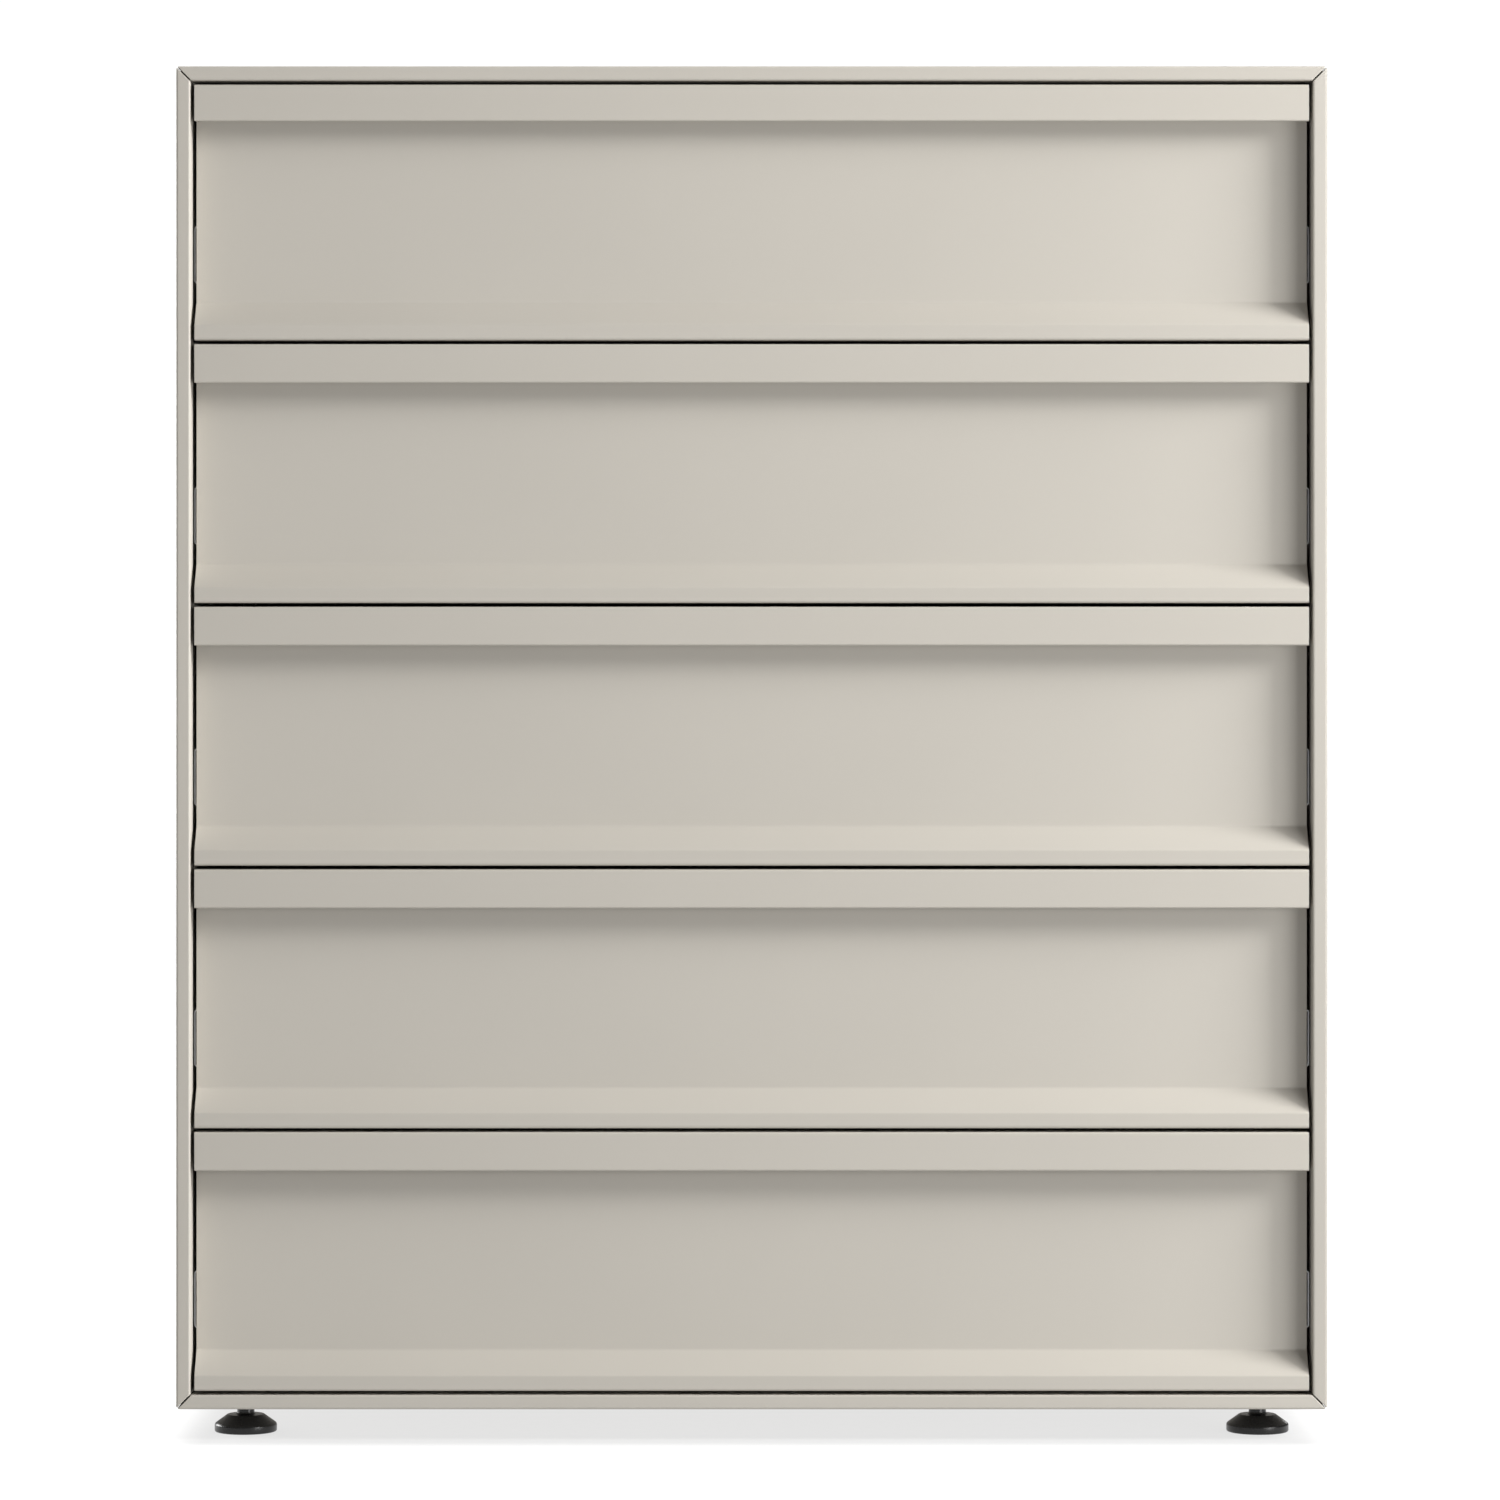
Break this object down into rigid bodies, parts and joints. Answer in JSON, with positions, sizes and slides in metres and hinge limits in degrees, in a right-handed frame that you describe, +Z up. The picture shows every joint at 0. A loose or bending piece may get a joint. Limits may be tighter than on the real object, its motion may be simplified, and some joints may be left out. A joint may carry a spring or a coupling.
{
  "type": "flat file cabinet",
  "caption": "Sheet-steel flat file cabinet: wide shallow drawers with full-width folded pulls, on ball-bearing slides and levelling feet.",
  "frame": {"origin": "on the floor under the middle of the cabinet", "axes": "+Z up, -Y towards the person who opens the drawers, +X to that person's right"},
  "size_m": [0.9144, 0.6604, 1.0922],
  "materials": {
    "powder_coat": "warm putty grey powder coat, fine texture, satin",
    "zinc_plate": "bright zinc plate on rolled steel",
    "foot_plastic": "black moulded nylon, slightly shiny"
  },
  "bodies": {
    "case": {"left_side_panel": "powder_coat", "right_side_panel": "powder_coat", "top_panel": "powder_coat", "bottom_panel": "powder_coat", "back_panel": "powder_coat", "front_left_post": "powder_coat", "rear_left_post": "powder_coat", "front_right_post": "powder_coat", "rear_right_post": "powder_coat", "left_base_rail": "powder_coat", "right_base_rail": "powder_coat", "drawer_1_left_slide_outer": "zinc_plate", "drawer_1_right_slide_outer": "zinc_plate", "drawer_2_left_slide_outer": "zinc_plate", "drawer_2_right_slide_outer": "zinc_plate", "drawer_3_left_slide_outer": "zinc_plate", "drawer_3_right_slide_outer": "zinc_plate", "drawer_4_left_slide_outer": "zinc_plate", "drawer_4_right_slide_outer": "zinc_plate", "drawer_5_left_slide_outer": "zinc_plate", "drawer_5_right_slide_outer": "zinc_plate"},
    "drawer_1": {"drawer_1_front": "powder_coat", "drawer_1_tray": "powder_coat", "drawer_1_left_slide_inner": "zinc_plate", "drawer_1_right_slide_inner": "zinc_plate"},
    "drawer_1_runner": {"drawer_1_left_slide_middle": "zinc_plate", "drawer_1_right_slide_middle": "zinc_plate"},
    "drawer_2": {"drawer_2_front": "powder_coat", "drawer_2_tray": "powder_coat", "drawer_2_left_slide_inner": "zinc_plate", "drawer_2_right_slide_inner": "zinc_plate"},
    "drawer_2_runner": {"drawer_2_left_slide_middle": "zinc_plate", "drawer_2_right_slide_middle": "zinc_plate"},
    "drawer_3": {"drawer_3_front": "powder_coat", "drawer_3_tray": "powder_coat", "drawer_3_left_slide_inner": "zinc_plate", "drawer_3_right_slide_inner": "zinc_plate"},
    "drawer_3_runner": {"drawer_3_left_slide_middle": "zinc_plate", "drawer_3_right_slide_middle": "zinc_plate"},
    "drawer_4": {"drawer_4_front": "powder_coat", "drawer_4_tray": "powder_coat", "drawer_4_left_slide_inner": "zinc_plate", "drawer_4_right_slide_inner": "zinc_plate"},
    "drawer_4_runner": {"drawer_4_left_slide_middle": "zinc_plate", "drawer_4_right_slide_middle": "zinc_plate"},
    "drawer_5": {"drawer_5_front": "powder_coat", "drawer_5_tray": "powder_coat", "drawer_5_left_slide_inner": "zinc_plate", "drawer_5_right_slide_inner": "zinc_plate"},
    "drawer_5_runner": {"drawer_5_left_slide_middle": "zinc_plate", "drawer_5_right_slide_middle": "zinc_plate"},
    "front_left_foot": {"front_left_foot_base": "foot_plastic", "front_left_foot_stud": "zinc_plate"},
    "front_right_foot": {"front_right_foot_base": "foot_plastic", "front_right_foot_stud": "zinc_plate"},
    "rear_left_foot": {"rear_left_foot_base": "foot_plastic", "rear_left_foot_stud": "zinc_plate"},
    "rear_right_foot": {"rear_right_foot_base": "foot_plastic", "rear_right_foot_stud": "zinc_plate"}
  },
  "joints": [
    {"name": "drawer_1_slide", "type": "slide", "parent": "case", "child": "drawer_1", "axis": [0, -1, 0], "range_m": [0, 0.558]},
    {"name": "drawer_1_runner_slide", "type": "slide", "parent": "case", "child": "drawer_1_runner", "axis": [0, -1, 0], "range_m": [0, 0.279]},
    {"name": "drawer_2_slide", "type": "slide", "parent": "case", "child": "drawer_2", "axis": [0, -1, 0], "range_m": [0, 0.558]},
    {"name": "drawer_2_runner_slide", "type": "slide", "parent": "case", "child": "drawer_2_runner", "axis": [0, -1, 0], "range_m": [0, 0.279]},
    {"name": "drawer_3_slide", "type": "slide", "parent": "case", "child": "drawer_3", "axis": [0, -1, 0], "range_m": [0, 0.558]},
    {"name": "drawer_3_runner_slide", "type": "slide", "parent": "case", "child": "drawer_3_runner", "axis": [0, -1, 0], "range_m": [0, 0.279]},
    {"name": "drawer_4_slide", "type": "slide", "parent": "case", "child": "drawer_4", "axis": [0, -1, 0], "range_m": [0, 0.558]},
    {"name": "drawer_4_runner_slide", "type": "slide", "parent": "case", "child": "drawer_4_runner", "axis": [0, -1, 0], "range_m": [0, 0.279]},
    {"name": "drawer_5_slide", "type": "slide", "parent": "case", "child": "drawer_5", "axis": [0, -1, 0], "range_m": [0, 0.558]},
    {"name": "drawer_5_runner_slide", "type": "slide", "parent": "case", "child": "drawer_5_runner", "axis": [0, -1, 0], "range_m": [0, 0.279]},
    {"name": "front_left_foot_screw", "type": "slide", "parent": "case", "child": "front_left_foot", "axis": [0, 0, -1], "range_m": [0, 0.014]},
    {"name": "front_right_foot_screw", "type": "slide", "parent": "case", "child": "front_right_foot", "axis": [0, 0, -1], "range_m": [0, 0.014]},
    {"name": "rear_left_foot_screw", "type": "slide", "parent": "case", "child": "rear_left_foot", "axis": [0, 0, -1], "range_m": [0, 0.014]},
    {"name": "rear_right_foot_screw", "type": "slide", "parent": "case", "child": "rear_right_foot", "axis": [0, 0, -1], "range_m": [0, 0.014]}
  ],
  "couplings": [
    {"joint": "drawer_1_runner_slide", "follows": "drawer_1_slide", "ratio": 0.5},
    {"joint": "drawer_2_runner_slide", "follows": "drawer_2_slide", "ratio": 0.5},
    {"joint": "drawer_3_runner_slide", "follows": "drawer_3_slide", "ratio": 0.5},
    {"joint": "drawer_4_runner_slide", "follows": "drawer_4_slide", "ratio": 0.5},
    {"joint": "drawer_5_runner_slide", "follows": "drawer_5_slide", "ratio": 0.5}
  ]
}
